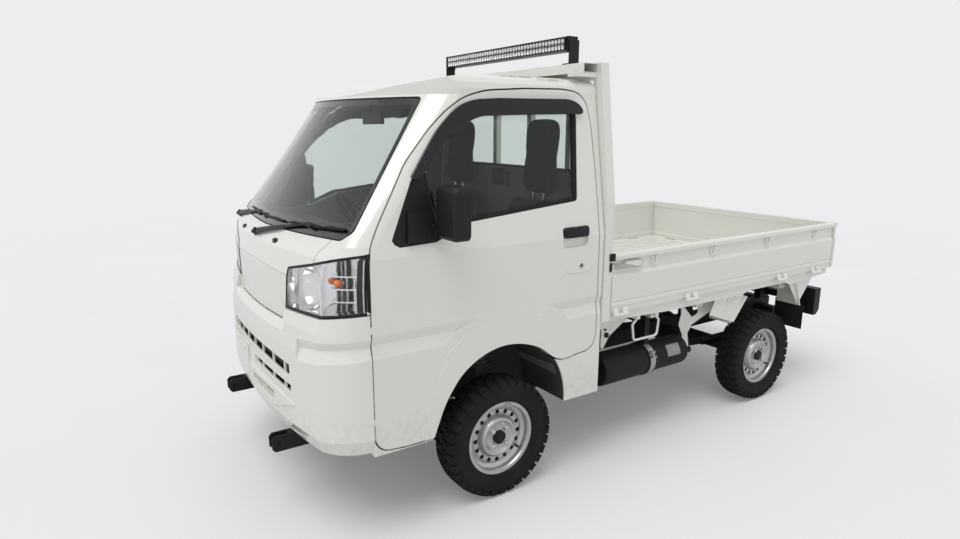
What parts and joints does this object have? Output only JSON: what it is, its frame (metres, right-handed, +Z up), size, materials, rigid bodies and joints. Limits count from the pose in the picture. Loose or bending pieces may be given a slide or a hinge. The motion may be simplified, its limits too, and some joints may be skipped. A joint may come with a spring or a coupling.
{
  "type": "kei truck",
  "caption": "Small flatbed truck with a short cab over the front wheels, fold-down bed gates, headboard frame with a light bar, and knobbly tyres on steel wheels",
  "frame": {"origin": "centre of the truck's outline on the ground", "axes": "+X is the truck's left side, +Y its rear, +Z up"},
  "size_m": [1.784, 3.455, 1.993],
  "materials": {
    "white_paint": "gloss",
    "chassis_black": "satin",
    "cast_metal": "rough",
    "muffler_black": "satin",
    "black_plastic": "textured",
    "grey_plastic": "textured",
    "smoked_plastic": "gloss",
    "cab_glass": "gloss",
    "clear_glass": "gloss",
    "lamp_chrome": "mirror",
    "seat_fabric": "woven",
    "bar_black": "satin",
    "red_lamp": "gloss",
    "flap_rubber": "matte",
    "wheel_silver": "satin",
    "tyre": "matte"
  },
  "bodies": {
    "truck": {"cab_shell": "white_paint", "front_panel": "white_paint", "bumper": "white_paint", "bed": "white_paint", "headboard": "white_paint", "ladder_frame": "chassis_black", "front_subframe": "chassis_black", "tow_brackets": "chassis_black", "rear_axle": "chassis_black", "engine_block": "cast_metal", "muffler": "muffler_black", "fuel_tank": "black_plastic", "windscreen": "cab_glass", "rear_window": "cab_glass", "grille": "black_plastic", "wiper_arms": "black_plastic", "headlight_bowls": "lamp_chrome", "headlight_lenses": "clear_glass", "dashboard": "grey_plastic", "steering_wheel": "black_plastic", "seats": "seat_fabric", "inner_mirror": "black_plastic", "light_bar": "bar_black", "light_bar_lens": "clear_glass", "tail_lamps": "red_lamp", "mud_flaps": "flap_rubber"},
    "door_body_left": {"door_left": "white_paint", "door_glass_left": "cab_glass", "door_trim_left": "black_plastic", "door_visor_left": "smoked_plastic"},
    "gate_body_left": {"side_gate_left": "white_paint"},
    "knuckle_body_left": {"knuckle_left": "cast_metal"},
    "door_body_right": {"door_right": "white_paint", "door_glass_right": "cab_glass", "door_trim_right": "black_plastic", "door_visor_right": "smoked_plastic"},
    "gate_body_right": {"side_gate_right": "white_paint"},
    "knuckle_body_right": {"knuckle_right": "cast_metal"},
    "tailgate_body": {"tailgate": "white_paint"},
    "wheel_front_left": {"rim_front_left": "wheel_silver", "tyre_front_left": "tyre"},
    "wheel_front_right": {"rim_front_right": "wheel_silver", "tyre_front_right": "tyre"},
    "wheel_rear_left": {"rim_rear_left": "wheel_silver", "tyre_rear_left": "tyre"},
    "wheel_rear_right": {"rim_rear_right": "wheel_silver", "tyre_rear_right": "tyre"}
  },
  "joints": [
    {"name": "door_hinge_left", "type": "hinge", "parent": "truck", "child": "door_body_left", "pos_m": [0.731, -1.43675, 1], "axis": [0, 0, -1], "range_deg": [0, 65]},
    {"name": "gate_hinge_left", "type": "hinge", "parent": "truck", "child": "gate_body_left", "pos_m": [0.748, 0.7175, 0.735], "axis": [0, 1, 0], "range_deg": [0, 175]},
    {"name": "steer_left", "type": "hinge", "parent": "truck", "child": "knuckle_body_left", "pos_m": [0.572, -0.8325, 0.17], "axis": [-0.1475, 0, 0.9891], "range_deg": [-32, 32]},
    {"name": "door_hinge_right", "type": "hinge", "parent": "truck", "child": "door_body_right", "pos_m": [-0.731, -1.43675, 1], "axis": [0, 0, 1], "range_deg": [0, 65]},
    {"name": "gate_hinge_right", "type": "hinge", "parent": "truck", "child": "gate_body_right", "pos_m": [-0.748, 0.7175, 0.735], "axis": [0, -1, 0], "range_deg": [0, 175]},
    {"name": "steer_right", "type": "hinge", "parent": "truck", "child": "knuckle_body_right", "pos_m": [-0.572, -0.8325, 0.17], "axis": [0.1475, 0, 0.9891], "range_deg": [-32, 32]},
    {"name": "tailgate_hinge", "type": "hinge", "parent": "truck", "child": "tailgate_body", "pos_m": [0, 1.7195, 0.735], "axis": [-1, 0, 0], "range_deg": [0, 175]},
    {"name": "roll_front_left", "type": "hinge", "parent": "knuckle_body_left", "child": "wheel_front_left", "pos_m": [0.6525, -0.8325, 0.2685], "axis": [1, 0, 0], "continuous": true},
    {"name": "roll_front_right", "type": "hinge", "parent": "knuckle_body_right", "child": "wheel_front_right", "pos_m": [-0.6525, -0.8325, 0.2685], "axis": [1, 0, 0], "continuous": true},
    {"name": "roll_rear_left", "type": "hinge", "parent": "truck", "child": "wheel_rear_left", "pos_m": [0.6525, 1.0675, 0.2685], "axis": [1, 0, 0], "continuous": true},
    {"name": "roll_rear_right", "type": "hinge", "parent": "truck", "child": "wheel_rear_right", "pos_m": [-0.6525, 1.0675, 0.2685], "axis": [1, 0, 0], "continuous": true}
  ],
  "couplings": [
    {"joint": "steer_right", "follows": "steer_left", "ratio": 1}
  ]
}
